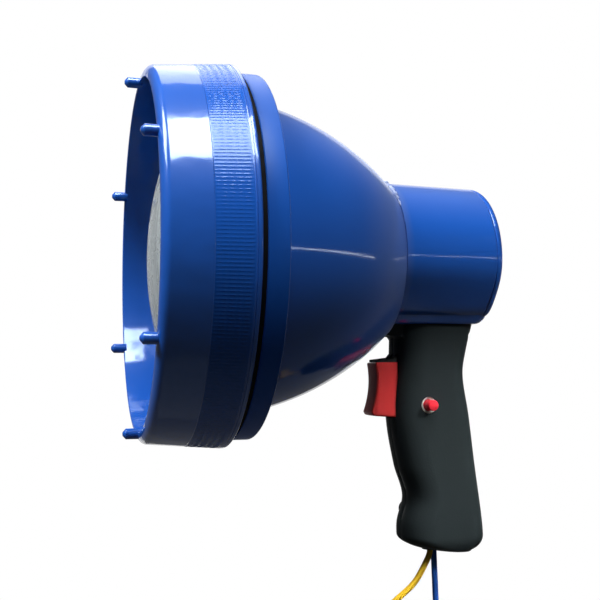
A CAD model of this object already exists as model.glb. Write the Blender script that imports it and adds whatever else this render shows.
"""Looks of the hand-held fishing spotlight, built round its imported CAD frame.

Shapes are worked out in the lamp's own millimetres: X = 0 on the rim's face and +X to the
rear, Z = 0 on the light axis, -Y on the side of the lock button. placed() turns them into
metres in the shared frame.
"""
import logging
import math
from dataclasses import dataclass
from enum import Enum
from typing import Any, Mapping, Sequence

import bmesh
import bpy
import numpy as np
from mathutils import Matrix, Vector


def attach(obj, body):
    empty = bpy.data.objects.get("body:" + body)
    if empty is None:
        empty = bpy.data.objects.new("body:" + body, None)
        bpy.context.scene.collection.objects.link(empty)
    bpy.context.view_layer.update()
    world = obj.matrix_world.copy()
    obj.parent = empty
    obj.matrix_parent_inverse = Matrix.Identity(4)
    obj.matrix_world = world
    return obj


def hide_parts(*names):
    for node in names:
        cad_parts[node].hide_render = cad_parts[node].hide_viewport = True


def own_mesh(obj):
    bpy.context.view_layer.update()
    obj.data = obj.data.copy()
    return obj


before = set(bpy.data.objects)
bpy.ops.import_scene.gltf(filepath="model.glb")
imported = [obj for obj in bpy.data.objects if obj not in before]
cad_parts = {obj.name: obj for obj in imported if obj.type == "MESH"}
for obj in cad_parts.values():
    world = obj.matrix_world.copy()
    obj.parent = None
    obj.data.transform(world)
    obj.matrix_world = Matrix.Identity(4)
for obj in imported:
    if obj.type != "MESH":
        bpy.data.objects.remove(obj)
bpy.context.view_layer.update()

LOG = logging.getLogger("spotlight")
Array = np.ndarray
Socket = bpy.types.NodeSocket
Tree = bpy.types.NodeTree
Object = bpy.types.Object
Pair = tuple[float, float]
Triple = tuple[float, float, float]

# The frame's origin, the middle of the grip, in lamp millimetres
HAND = np.array([147.55, 0.0, -95.0])
MM = 0.001
# Points closer than this are one point, in metres
WELD = 2e-6


class Body(Enum):
    """The CAD bodies that pieces ride on."""

    HOUSING = "housing"
    CARRIAGE = "lens_carriage"
    RING = "focus_ring"
    TRIGGER = "trigger"
    LOCK = "lock_button"


class Side(Enum):
    """The two sides of the lamp, by the way they lie along Y."""

    LEFT = -1
    RIGHT = 1


class Work(Enum):
    """What a tool shape does to a piece."""

    CUT = "DIFFERENCE"
    JOIN = "UNION"


# Shapes


@dataclass
class Surface:
    """Points in lamp millimetres with the quads and triangles between them."""

    points: Array
    quads: Array
    tris: Array


NO_TRIS = np.zeros((0, 3), int)


def placed(points: Array) -> Array:
    """Lamp millimetres as metres in the shared frame."""
    return (np.asarray(points, float) - HAND) * MM


def frame_x(x: float) -> float:
    """A place along the lamp as metres in the shared frame."""
    return float((x - HAND[0]) * MM)


def arc(centre: Sequence[float], radius: float, start: float, end: float, steps: int) -> Array:
    """Points on an arc.

    Args:
        centre: Middle of the arc in its plane.
        radius: Radius of the arc.
        start: First angle in degrees.
        end: Last angle in degrees.
        steps: Number of stretches.

    Returns:
        One row of two coordinates for each point.
    """
    turn = np.radians(np.linspace(start, end, steps + 1))
    return np.asarray(centre) + radius * np.stack([np.cos(turn), np.sin(turn)], axis=-1)


def smooth(knots: Sequence[Sequence[float]], at: Array) -> Array:
    """A smooth curve through knots, read at many places.

    Between two knots it is the cubic that meets both, with the slope at a knot taken from
    its two neighbours.

    Args:
        knots: Pairs of place and value, places rising.
        at: Places to read.

    Returns:
        The curve's value at each place.
    """
    x, y = np.asarray(knots, float).T
    low = np.maximum(np.arange(len(x)) - 1, 0)
    high = np.minimum(np.arange(len(x)) + 1, len(x) - 1)
    slope = (y[high] - y[low]) / (x[high] - x[low])
    i = np.clip(np.searchsorted(x, at, side="right") - 1, 0, len(x) - 2)
    h = x[i + 1] - x[i]
    s = (at - x[i]) / h
    u = 1 - s
    ends = y[i] * (1 + 2 * s) * u * u + y[i + 1] * (3 - 2 * s) * s * s
    return ends + h * (slope[i] * s * u * u - slope[i + 1] * s * s * u)


def ease(low: float, high: float, at: Array) -> Array:
    """0 below low, 1 above high, and a soft step between them."""
    s = np.clip((np.asarray(at, float) - low) / (high - low), 0, 1)
    return s * s * (3 - 2 * s)


def weave(rows: int, cols: int, round_rows: bool, round_cols: bool) -> Array:
    """Quads between the neighbours of a grid of points.

    Args:
        rows: Number of rows.
        cols: Points in a row.
        round_rows: Whether the last row joins the first.
        round_cols: Whether a row's last point joins its first.

    Returns:
        Four point numbers for each quad.
    """
    r = np.arange(rows if round_rows else rows - 1)[:, None]
    c = np.arange(cols if round_cols else cols - 1)[None, :]
    r_next, c_next = (r + 1) % rows, (c + 1) % cols
    corners = (r * cols + c, r * cols + c_next, r_next * cols + c_next, r_next * cols + c)
    return np.stack(corners, axis=-1).reshape(-1, 4)


def turned(profile: Array, centre: Sequence[float], axis: Sequence[float], segments: int) -> Surface:
    """A closed outline carried round an axis.

    An outline point (a, r) goes to centre + a * axis + r * (cos t * u + sin t * v) for evenly
    spread angles t, where u and v are square to the axis.

    Args:
        profile: Rows of place along the axis and radius, in order round the outline.
        centre: A point on the axis, where the place is 0.
        axis: Direction of the axis, along X, Y or Z.
        segments: Points on a full turn.

    Returns:
        The closed surface.
    """
    ahead = np.asarray(axis, float)
    u = ahead[[2, 0, 1]]
    v = np.cross(ahead, u)
    t = np.linspace(0, 2 * np.pi, segments, endpoint=False)[None, :, None]
    along, radius = (np.asarray(profile)[:, k, None, None] for k in (0, 1))
    points = np.asarray(centre) + along * ahead + radius * (np.cos(t) * u + np.sin(t) * v)
    return Surface(points.reshape(-1, 3), weave(len(profile), segments, True, True), NO_TRIS)


def lofted(rings: Array) -> Surface:
    """Closed rings joined in order, the end rings filled by a fan round their middles.

    Args:
        rings: Points by ring, place on the ring and coordinate.

    Returns:
        The closed surface.
    """
    count, around = rings.shape[:2]
    flat = rings.reshape(-1, 3)
    points = np.concatenate([flat, rings[[0, -1]].mean(axis=1)])
    here = np.arange(around)
    after = (here + 1) % around
    last = (count - 1) * around
    first_fan = np.stack([after, here, np.full(around, len(flat))], axis=-1)
    last_fan = np.stack([last + here, last + after, np.full(around, len(flat) + 1)], axis=-1)
    return Surface(points, weave(count, around, False, True), np.concatenate([first_fan, last_fan]))


def tube(route: Array, radius: float, sides: int, side: Sequence[float]) -> Surface:
    """A round tube along a route.

    Each ring is a circle square to the route's direction, and starts on the side that is
    nearest to the given one.

    Args:
        route: Points along the middle.
        radius: Radius of the tube.
        sides: Points on a ring.
        side: A direction that the route never takes.

    Returns:
        The closed surface.
    """
    ahead = np.gradient(route, axis=0)
    ahead /= np.linalg.norm(ahead, axis=1, keepdims=True)
    a = np.asarray(side, float) - (ahead @ np.asarray(side, float))[:, None] * ahead
    a /= np.linalg.norm(a, axis=1, keepdims=True)
    b = np.cross(ahead, a)
    t = np.linspace(0, 2 * np.pi, sides, endpoint=False)[None, :, None]
    rings = route[:, None, :] + radius * (np.cos(t) * a[:, None, :] + np.sin(t) * b[:, None, :])
    return lofted(rings)


def post(centre: Sequence[float], radius: float, y0: float, y1: float) -> Surface:
    """A round post across the lamp, from y0 to y1 through centre (x, z).

    It is a circle carried straight from y0 to y1.

    Args:
        centre: Middle of the post as (x, z).
        radius: Radius of the post.
        y0: First end.
        y1: Last end.

    Returns:
        The closed surface.
    """
    sides = 48
    circle = arc(centre, radius, 0, 360 - 360 / sides, sides - 1)
    rings = [np.insert(circle, 1, y, axis=1) for y in (y0, y1)]
    return lofted(np.stack(rings))


def block(low: Sequence[float], high: Sequence[float]) -> Surface:
    """A plain box between two corners.

    It is a rectangle in X and Y carried up along Z.

    Args:
        low: Its lowest corner.
        high: Its highest corner.

    Returns:
        The closed surface.
    """
    (x0, y0, z0), (x1, y1, z1) = low, high
    ring = np.array([[x0, y0], [x1, y0], [x1, y1], [x0, y1]])
    return lofted(np.stack([np.insert(ring, 2, z, axis=1) for z in (z0, z1)]))


def make_object(name: str, *surfaces: Surface, sharp: float = 40) -> Object:
    """One mesh object out of closed surfaces.

    Args:
        name: Name of the object.
        surfaces: What it is made of, in lamp millimetres.
        sharp: Edges that turn more than this, in degrees, stay sharp.

    Returns:
        The object, in the scene, with its faces outwards.
    """
    starts = np.cumsum([0] + [len(s.points) for s in surfaces])
    points = placed(np.concatenate([s.points for s in surfaces]))
    faces: list[list[int]] = []
    for surface, start in zip(surfaces, starts):
        faces += (surface.quads + start).tolist() + (surface.tris + start).tolist()
    mesh = bpy.data.meshes.new(name)
    mesh.from_pydata(points.tolist(), [], faces)
    work = bmesh.new()
    work.from_mesh(mesh)
    bmesh.ops.remove_doubles(work, verts=work.verts, dist=WELD)
    bmesh.ops.recalc_face_normals(work, faces=work.faces)
    work.to_mesh(mesh)
    work.free()
    obj = bpy.data.objects.new(name, mesh)
    bpy.context.scene.collection.objects.link(obj)
    return shade(obj, sharp)


def shade(obj: Object, sharp: float) -> Object:
    """Smooth shading with sharp edges above an angle in degrees.

    Args:
        obj: The piece.
        sharp: Edges that turn more than this, in degrees, stay sharp.

    Returns:
        The same piece.
    """
    obj.data.shade_smooth()
    obj.data.set_sharp_from_angle(angle=math.radians(sharp))
    return obj


def carve(obj: Object, steps: Sequence[tuple[Work, Object]], sharp: float) -> Object:
    """Works tool shapes into an object and removes the tools.

    Args:
        obj: The object to work on.
        steps: Pairs of what is done and the tool object.
        sharp: Edges that turn more than this, in degrees, stay sharp.

    Returns:
        The same object with its worked mesh.
    """
    for work, tool in steps:
        modifier = obj.modifiers.new(tool.name, "BOOLEAN")
        modifier.operation = work.value
        modifier.solver = "EXACT"
        modifier.object = tool
    graph = bpy.context.evaluated_depsgraph_get()
    worked = bpy.data.meshes.new_from_object(obj.evaluated_get(graph))
    obj.modifiers.clear()
    obj.data = worked
    for _, tool in steps:
        bpy.data.objects.remove(tool)
    return shade(obj, sharp)


# Finishes


def rgba(code: str) -> tuple[float, float, float, float]:
    """A colour written as hex sRGB, as linear red, green, blue and alpha.

    Args:
        code: The colour as # and six hex digits.

    Returns:
        Four numbers from 0 to 1.
    """
    parts = (int(code[i:i + 2], 16) / 255 for i in (1, 3, 5))
    linear = (c / 12.92 if c <= 0.04045 else ((c + 0.055) / 1.055) ** 2.4 for c in parts)
    return (*linear, 1.0)


def per_mm(size: float) -> float:
    """Scale of a pattern whose features measure size millimetres."""
    return 1 / (size * MM)


def add_node(tree: Tree, kind: str, inputs: Mapping[Any, Any], **settings: Any) -> bpy.types.Node:
    """Adds a shader node.

    Args:
        tree: The node tree.
        kind: Type name of the node.
        inputs: Socket name or number, and the socket to link or the value to set.
        settings: Properties of the node.

    Returns:
        The new node.
    """
    node = tree.nodes.new(kind)
    for key, value in settings.items():
        setattr(node, key, value)
    for key, value in inputs.items():
        if isinstance(value, Socket):
            tree.links.new(value, node.inputs[key])
        else:
            node.inputs[key].default_value = value
    return node


# Where most values of a cloudy pattern lie
CLOUDED = (0.3, 0.7)


@dataclass(frozen=True)
class Finish:
    """A moulded or plain surface: clouded colour, uneven gloss and a fine grain.

    Fields are the material's name, the record's slot, two hex colours that drift into each
    other over cloud_mm, the roughness and how far it wanders, the grain's size and height in
    millimetres, and fixed shader settings.
    """

    name: str
    slot: str
    colour: str
    shade: str
    cloud_mm: float
    roughness: float
    wander: float
    grain_mm: float
    grain_h: float
    fixed: tuple[tuple[str, Any], ...] = ()

    def material(self) -> bpy.types.Material:
        """The material, made on first use."""
        return bpy.data.materials.get(self.name) or self.make()

    def make(self) -> bpy.types.Material:
        """Builds the material's node tree.

        Returns:
            The new material.
        """
        made = bpy.data.materials.new(self.name)
        made.use_nodes = True
        tree = made.node_tree
        shader = tree.nodes["Principled BSDF"]
        place = add_node(tree, "ShaderNodeTexCoord", {}).outputs["Object"]
        links = {
            "Base Color": self.tone(tree, place),
            "Roughness": self.gloss(tree, place),
            "Normal": self.grain(tree, place),
        }
        for key, socket in links.items():
            tree.links.new(socket, shader.inputs[key])
        for key, value in self.fixed:
            shader.inputs[key].default_value = value
        return made

    def tone(self, tree: Tree, place: Socket) -> Socket:
        """Two near colours that drift into each other.

        Args:
            tree: The node tree.
            place: Coordinates on the object.

        Returns:
            The colour.
        """
        cloud = add_node(
            tree, "ShaderNodeTexNoise", {"Vector": place, "Scale": per_mm(self.cloud_mm), "Detail": 4.0}
        )
        mix = add_node(
            tree, "ShaderNodeMix",
            {0: cloud.outputs[0], 6: rgba(self.colour), 7: rgba(self.shade)}, data_type="RGBA",
        )
        return mix.outputs[2]

    def gloss(self, tree: Tree, place: Socket) -> Socket:
        """Roughness that wanders in patches, as handling leaves it.

        Args:
            tree: The node tree.
            place: Coordinates on the object.

        Returns:
            The roughness.
        """
        patch = add_node(
            tree, "ShaderNodeTexNoise",
            {"Vector": place, "Scale": per_mm(self.cloud_mm / 3), "Detail": 3.0},
        )
        low, high = CLOUDED
        reach = add_node(
            tree, "ShaderNodeMapRange",
            {
                "Value": patch.outputs[0], "From Min": low, "From Max": high,
                "To Min": self.roughness - self.wander, "To Max": self.roughness + self.wander,
            },
        )
        return reach.outputs[0]

    def grain(self, tree: Tree, place: Socket) -> Socket:
        """A fine even relief.

        Args:
            tree: The node tree.
            place: Coordinates on the object.

        Returns:
            The relief's normal.
        """
        height = add_node(
            tree, "ShaderNodeTexNoise", {"Vector": place, "Scale": per_mm(self.grain_mm), "Detail": 2.0}
        )
        bump = add_node(
            tree, "ShaderNodeBump",
            {"Height": height.outputs[0], "Distance": self.grain_h * MM, "Strength": 1.0},
        )
        return bump.outputs[0]


@dataclass(frozen=True)
class RippledAbs(Finish):
    """Glossy plastic that sank a little as it cooled, which leaves slow ripples under its grain."""

    ripple_mm: float = 12.0
    ripple_h: float = 0.35

    def grain(self, tree: Tree, place: Socket) -> Socket:
        """The fine relief with the slow ripples added.

        Args:
            tree: The node tree.
            place: Coordinates on the object.

        Returns:
            The relief's normal.
        """
        height = add_node(
            tree, "ShaderNodeTexNoise", {"Vector": place, "Scale": per_mm(self.ripple_mm), "Detail": 1.0}
        )
        bump = add_node(
            tree, "ShaderNodeBump",
            {
                "Height": height.outputs[0], "Distance": self.ripple_h * MM, "Strength": 1.0,
                "Normal": super().grain(tree, place),
            },
        )
        return bump.outputs[0]


@dataclass(frozen=True)
class SeamAbs(Finish):
    """Glossy plastic with a haze that solvent left beside a glued seam, and dust on its top.

    The haze starts haze_mm before the seam at seam_x, grows to haze_most there, is broken up
    by patches and ends past_mm behind it. Dust lies where the surface faces up more than
    dust_from. In front of collar_x the plastic is worn: rougher, and with less reflection.
    """

    seam_x: float = 120.2
    haze: str = "#62739f"
    haze_mm: float = 32.0
    haze_most: float = 0.7
    past_mm: float = 4.0
    patch_mm: float = 30.0
    dust: float = 0.32
    dust_from: float = 0.3
    dulling: float = 0.2
    collar_x: float = 51.3
    collar_edge: float = 0.5
    worn: float = 0.3
    worn_level: float = 0.12
    plain_level: float = 0.5

    def make(self) -> bpy.types.Material:
        """Builds the node tree, with less reflection on the worn collar.

        Returns:
            The new material.
        """
        made = super().make()
        tree = made.node_tree
        place = add_node(tree, "ShaderNodeTexCoord", {}).outputs["Object"]
        shader = tree.nodes["Principled BSDF"]
        level = self.behind_collar(tree, place, self.worn_level, self.plain_level)
        tree.links.new(level, shader.inputs["Specular IOR Level"])
        return made

    def behind_collar(self, tree: Tree, place: Socket, on: float, behind: float) -> Socket:
        """A value that is one on the collar and another behind it.

        Args:
            tree: The node tree.
            place: Coordinates on the object.
            on: The value on the collar.
            behind: The value behind it.

        Returns:
            The value.
        """
        x = add_node(tree, "ShaderNodeSeparateXYZ", {0: place}).outputs[0]
        start, end = (frame_x(self.collar_x + past) for past in (0.0, self.collar_edge))
        step = add_node(
            tree, "ShaderNodeMapRange",
            {"Value": x, "From Min": start, "From Max": end, "To Min": on, "To Max": behind},
        )
        return step.outputs[0]

    def veil(self, tree: Tree, place: Socket) -> Socket:
        """Strength of the veil: haze at the seam, broken up by patches, and dust where it faces up.

        Args:
            tree: The node tree.
            place: Coordinates on the object.

        Returns:
            The strength, from 0 to 1.
        """
        x = add_node(tree, "ShaderNodeSeparateXYZ", {0: place}).outputs[0]
        start, seam, end = (frame_x(self.seam_x + past) for past in (-self.haze_mm, 0.0, self.past_mm))
        near = add_node(
            tree, "ShaderNodeMapRange",
            {"Value": x, "From Min": start, "From Max": seam, "To Max": self.haze_most},
            interpolation_type="SMOOTHSTEP",
        )
        past = add_node(
            tree, "ShaderNodeMapRange",
            {"Value": x, "From Min": seam, "From Max": end, "To Min": 1.0, "To Max": 0.0},
        )
        patch = add_node(
            tree, "ShaderNodeTexNoise", {"Vector": place, "Scale": per_mm(self.patch_mm), "Detail": 2.0}
        )
        facing = add_node(tree, "ShaderNodeTexCoord", {}).outputs["Normal"]
        up = add_node(tree, "ShaderNodeSeparateXYZ", {0: facing}).outputs[2]
        dust = add_node(
            tree, "ShaderNodeMapRange",
            {"Value": up, "From Min": self.dust_from, "From Max": 1.0, "To Max": self.dust},
            interpolation_type="SMOOTHSTEP",
        )
        haze = add_node(
            tree, "ShaderNodeMath", {0: near.outputs[0], 1: past.outputs[0]}, operation="MULTIPLY"
        )
        veil = add_node(
            tree, "ShaderNodeMath", {0: haze.outputs[0], 1: patch.outputs[0], 2: dust.outputs[0]},
            operation="MULTIPLY_ADD",
        )
        return veil.outputs[0]

    def tone(self, tree: Tree, place: Socket) -> Socket:
        """The plain colour under the haze.

        Args:
            tree: The node tree.
            place: Coordinates on the object.

        Returns:
            The colour.
        """
        mix = add_node(
            tree, "ShaderNodeMix",
            {0: self.veil(tree, place), 6: super().tone(tree, place), 7: rgba(self.haze)}, data_type="RGBA",
        )
        return mix.outputs[2]

    def gloss(self, tree: Tree, place: Socket) -> Socket:
        """The plain gloss, dulled by the haze and by wear on the collar.

        Args:
            tree: The node tree.
            place: Coordinates on the object.

        Returns:
            The roughness.
        """
        dull = add_node(
            tree, "ShaderNodeMath",
            {0: self.veil(tree, place), 1: self.dulling, 2: super().gloss(tree, place)},
            operation="MULTIPLY_ADD",
        )
        wear = self.behind_collar(tree, place, self.worn, 0.0)
        both = add_node(tree, "ShaderNodeMath", {0: dull.outputs[0], 1: wear}, operation="ADD")
        return both.outputs[0]


@dataclass(frozen=True)
class StreakedLens(Finish):
    """Clear plastic gone grey, with streaks that run down the dome."""

    streak_mm: Triple = (30.0, 1.6, 24.0)

    def tone(self, tree: Tree, place: Socket) -> Socket:
        """Grey that changes quickly across the lens and slowly down it.

        Args:
            tree: The node tree.
            place: Coordinates on the object.

        Returns:
            The colour.
        """
        stretch = add_node(
            tree, "ShaderNodeMapping", {"Vector": place, "Scale": [per_mm(size) for size in self.streak_mm]}
        )
        streak = add_node(
            tree, "ShaderNodeTexNoise", {"Vector": stretch.outputs[0], "Scale": 1.0, "Detail": 4.0}
        )
        low, high = CLOUDED
        reach = add_node(
            tree, "ShaderNodeMapRange", {"Value": streak.outputs[0], "From Min": low, "From Max": high}
        )
        mix = add_node(
            tree, "ShaderNodeMix",
            {0: reach.outputs[0], 6: rgba(self.colour), 7: rgba(self.shade)}, data_type="RGBA",
        )
        return mix.outputs[2]


# The grain of moulded plastic, plating and paper is finer than the render's pixels. It is drawn
# here at about a millimetre, as coarse as it needs to show.

# Fixed shader settings that several finishes share
BLUE_SHEEN = (("Specular Tint", rgba("#d0e6ff")), ("Specular IOR Level", 0.5))
SOFT_SHEEN = (("Specular IOR Level", 0.06),)
METAL = (("Metallic", 1.0),)
FILM = (("Coat Weight", 0.3), ("Coat Roughness", 0.42), ("Coat IOR", 1.4))
DUST = (("Sheen Weight", 0.35), ("Sheen Roughness", 0.35), ("Sheen Tint", rgba("#b8c8f0")))

# Slot, both colours and their drift in millimetres, the same for all blue mouldings
MOULDED_BLUE = ("blue_abs", "#1858b8", "#154ca4", 60)

# Injection-moulded ABS out of a polished mould. It mirrors the lamps, slight ripples and
# orange peel make their edges waver, and a wiped film spreads a haze round them.
BLUE_ABS = RippledAbs("glossy_blue_abs", *MOULDED_BLUE, 0.11, 0.03, 0.8, 0.005, BLUE_SHEEN + FILM)
# The same plastic on the ribs, dulled by the hands that turn the ring.
RIB_ABS = Finish(
    "worn_rib_abs", *MOULDED_BLUE, 0.22, 0.03, 0.8, 0.004, (BLUE_SHEEN[0], ("Specular IOR Level", 0.25))
)
# The same plastic round the glued seam of bell and barrel, greyed by dried solvent and dust.
SEAM_ABS = SeamAbs("seam_blue_abs", *MOULDED_BLUE, 0.08, 0.02, 2.2, 0.003, BLUE_SHEEN + DUST)
# Dried cement squeezed out of the seam: a rough, whitish, crumbly bead.
SEAM_GLUE = Finish("dried_seam_cement", "blue_abs", "#6d84bb", "#c0cae2", 3, 0.6, 0.2, 0.8, 0.15)
# Glass-filled nylon from a spark-eroded mould. The fine pits spread the light, so the grip
# looks soft charcoal with a wide dull sheen.
GRIP_NYLON = Finish(
    "textured_grip_nylon", "grip_nylon", "#2b3234", "#242a2b", 40, 0.55, 0.07, 0.9, 0.05, SOFT_SHEEN
)
# Semi-gloss red plastic, rubbed smooth by the finger.
TRIGGER_RED = Finish(
    "red_trigger_plastic", "red_trigger", "#d84040", "#c83a38", 25, 0.36, 0.06, 1.6, 0.012, SOFT_SHEEN
)
# The same in a brighter red, from a small polished mould: its round end catches a point of light.
BUTTON_RED = Finish(
    "red_button_plastic", "red_button", "#fb3a48", "#ec3240", 12, 0.3, 0.06, 1.2, 0.008, SOFT_SHEEN
)
# Unpainted pale moulding that shows as a thin crescent beside the button.
PALE_PLASTIC = Finish("pale_collar_plastic", "pale_plastic", "#dcd9d0", "#cbc7bc", 8, 0.5, 0.08, 1.0, 0.01)
# Moulded lens plastic, hazed by salt and wiping, which spreads the light into grey streaks.
LENS = StreakedLens(
    "hazed_lens_plastic", "frosted_lens", "#d8e2e6", "#a0a7ab", 30, 0.28, 0.1, 1.5, 0.01,
    (("Transmission Weight", 0.35), ("IOR", 1.49)),
)
# Vacuum-metallised plastic: a soft mirror with slight ripples.
MIRROR = Finish(
    "metallised_reflector", "reflector_mirror", "#d9dadd", "#cfd1d6", 40, 0.08, 0.03, 9, 0.02, METAL
)
# Lamp glass, blown and sealed by flame: clear, with a light film from handling.
GLASS = Finish(
    "lamp_glass", "lamp_glass", "#f2f6f8", "#e4ebee", 10, 0.05, 0.02, 4, 0.005,
    (("Transmission Weight", 1.0), ("IOR", 1.46)),
)
# Moulded rubber of seals and grommet: nearly black and dry.
RUBBER = Finish(
    "black_seal_rubber", "black_rubber", "#07080b", "#0c0d11", 12, 0.7, 0.1, 0.6, 0.03, SOFT_SHEEN
)
# Moulded nylon of the tie strap, smooth and a little shinier than rubber.
TIE_NYLON = Finish("black_tie_nylon", "black_nylon", "#191a1c", "#222326", 10, 0.42, 0.08, 0.8, 0.01)
# Zinc-plated steel: satin metal with cloudy patches from the plating bath.
STEEL = Finish("zinc_plated_steel", "steel", "#b4b7bc", "#9b9fa6", 6, 0.32, 0.1, 1.2, 0.006, METAL)
# Stamped brass of lamp base and terminals, slightly dulled, so that it mirrors softly and warm.
BRASS = Finish("plain_brass", "brass", "#b8944c", "#a07c3a", 5, 0.34, 0.1, 1.0, 0.006, METAL)
# Tinned copper strands of the bare lead ends, drawn and twisted: small soft glints.
STRANDS = Finish("tinned_copper", "brass", "#c9a27a", "#b3815a", 2, 0.36, 0.1, 0.5, 0.004, METAL)
# Dark plastic of the trigger switch, from a plain steel mould that leaves it dull.
SWITCH = Finish("switch_plastic", "switch_plastic", "#3a3d40", "#313437", 15, 0.5, 0.08, 0.8, 0.02)
# Ceramic of the lamp holder, pressed and fired without glaze: matt and chalky.
CERAMIC = Finish("lamp_ceramic", "ceramic", "#e8e2d4", "#d9d1bf", 8, 0.75, 0.1, 0.7, 0.03)
# PVC insulation, drawn on smooth, with the faint sheen of soft plastic.
YELLOW_PVC = Finish(
    "yellow_wire_pvc", "yellow_pvc", "#eec436", "#e0b22a", 12, 0.36, 0.08, 1.4, 0.0005, SOFT_SHEEN
)
# The same insulation in blue.
BLUE_PVC = Finish(
    "blue_wire_pvc", "blue_pvc", "#2f69d6", "#2759ba", 12, 0.36, 0.08, 1.4, 0.0005, SOFT_SHEEN
)
# Matt paper floor under the object.
FLOOR = Finish("pale_paper_floor", "", "#c9c9c9", "#c2c2c2", 300, 0.85, 0.05, 3, 0.02)
# The same paper, bleached, on the wall behind it.
BACKDROP = Finish("white_paper_backdrop", "", "#d8d8d8", "#d2d2d2", 300, 0.9, 0.05, 3, 0.02)

# CAD nodes that are shown as they are, with their finishes
PLAIN_NODES: dict[str, Finish] = {
    "retaining_ring": STEEL, "lens_gasket": RUBBER, "reflector": MIRROR, "body_gasket": RUBBER,
    "lamp_bracket": STEEL, "lamp_holder": CERAMIC, "bulb_base": BRASS, "bulb_glass": GLASS,
    "grip_screws": STEEL, "saddle_screws": STEEL, "trigger_stem": STEEL,
    "switch_body": SWITCH, "switch_terminals": BRASS, "wire_grommet": RUBBER,
}


def dress(obj: Object, finish: Finish, body: Body, *replaced: str) -> Object:
    """Gives a piece its finish, its body and the CAD nodes it stands for.

    Args:
        obj: The piece.
        finish: Its finish.
        body: The body it rides on.
        replaced: CAD nodes that it replaces.

    Returns:
        The same piece.
    """
    obj.data.materials.clear()
    obj.data.materials.append(finish.material())
    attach(obj, body.value)
    if replaced:
        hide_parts(*replaced)
    LOG.info("%s: %d faces, %s, rides on %s", obj.name, len(obj.data.polygons), finish.name, body.value)
    return obj


# Leads

# Where they leave the butt, how thick they are, and middle, radius, turns and step of their coils
EXIT_Z = -143.8
LEAD_D = 3.0
COIL_X = 130.0
COIL_Z = -198.2
COIL_R = 20.0
COIL_TURNS = 5
COIL_STEP = 3.6
# Length of the tail after the coil, and of its bare end
TAIL = 12.0
BARE = 6.0
# The way across the lamp, which no lead takes
ACROSS = (0.0, 1.0, 0.0)


@dataclass
class Lead:
    """One single-core lead: it hangs from the butt, is put away as a coil and ends bare.

    way is 1 for a coil that starts at its front side and -1 for its mirror image, exit is
    (x, y) at the butt, layers are the coil's two places across, and hang holds pairs of the
    share of the way down to the coil and the share of the way across to it.
    """

    name: str
    finish: Finish
    way: int
    exit: Pair
    layers: Pair
    hang: tuple[Pair, ...]

    def start(self) -> Triple:
        """Where the coil's first turn starts."""
        return COIL_X - self.way * COIL_R, self.layers[0], COIL_Z + LEAD_D

    def hanging(self) -> Array:
        """The free stretch, from the exit down to the coil.

        At a share of the way down, the lead has gone across by the value of the hang curve there.

        Returns:
            Points along the lead.
        """
        down = np.linspace(0, 1, 33)
        across = smooth(self.hang, down)
        x, y, z = self.start()
        return np.stack([
            self.exit[0] + (x - self.exit[0]) * across,
            self.exit[1] + (y - self.exit[1]) * across,
            EXIT_Z + (z - EXIT_Z) * down,
        ], axis=-1)

    def coiled(self) -> Array:
        """The coil: it spirals in on one layer, climbs to the next and spirals out.

        The radius shrinks by COIL_STEP on each turn up to the middle one and grows again after
        it, the angle grows evenly, and the climb takes half a turn.

        Returns:
            Points along the lead.
        """
        per_turn = 36
        turns = np.arange(COIL_TURNS * per_turn + 1) / per_turn
        half = COIL_TURNS / 2
        radius = COIL_R - COIL_STEP * (half - np.abs(half - turns))
        angle = (np.pi if self.way > 0 else 0) + self.way * 2 * np.pi * turns
        climb = np.clip(2 * (turns - half) + 0.5, 0, 1)
        y = self.layers[0] + (self.layers[1] - self.layers[0]) * climb
        return np.stack([COIL_X + radius * np.cos(angle), y, COIL_Z + radius * np.sin(angle)], axis=-1)

    def tail(self) -> Array:
        """The straight tail after the last turn.

        Returns:
            Points along the lead.
        """
        drop = np.linspace(0, TAIL, 7)[1:]
        x = np.full(len(drop), COIL_X - self.way * COIL_R)
        return np.stack([x, np.full(len(drop), self.layers[1]), COIL_Z - drop], axis=-1)

    def strands(self) -> Object:
        """The bare end: one straight strand and six that twist round it.

        Each strand's middle is a helix about the lead's own middle.

        Returns:
            The piece.
        """
        foot = self.tail()[-1]
        outer, strand_r, twist_r, turns = 6, 0.24, 0.5, 1.2
        share = np.linspace(0, 1, 25)
        wires = []
        for k in range(outer + 1):
            angle = 2 * np.pi * (turns * share + k / outer)
            reach = twist_r if k < outer else 0
            offset = np.stack([reach * np.cos(angle), reach * np.sin(angle), -BARE * share], axis=-1)
            wires.append(tube(foot + offset, strand_r, 8, ACROSS))
        obj = make_object(f"{self.name}_strands", *wires)
        return dress(obj, STRANDS, Body.HOUSING, "lead_ends")

    def build(self, *pieces: Object) -> None:
        """Args:
            pieces: Pieces that it carries besides its bare end.
        """
        route = np.concatenate([self.hanging(), self.coiled(), self.tail()])
        obj = make_object(f"{self.name}_cord", tube(route, LEAD_D / 2, 20, ACROSS))
        dress(obj, self.finish, Body.HOUSING, f"{self.name}_lead", f"{self.name}_coil")
        self.strands()


YELLOW = Lead("yellow", YELLOW_PVC, 1, (145.0, -1.4), (-1.9, -5.5), (
    (0, 0), (0.03, 0.003), (0.07, 0.023), (0.14, 0.08), (0.21, 0.143), (0.28, 0.214), (0.35, 0.314),
    (0.43, 0.475), (0.52, 0.65), (0.62, 0.81), (0.73, 0.925), (0.85, 0.985), (0.94, 1), (1, 1),
))
BLUE = Lead("blue", BLUE_PVC, -1, (148.2, 1.4), (1.9, 5.5), (
    (0, 0), (0.1, 0.06), (0.24, 0.17), (0.35, 0.28), (0.47, 0.36), (0.64, 0.7), (0.8, 0.92), (0.92, 1),
    (1, 1),
))


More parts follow.
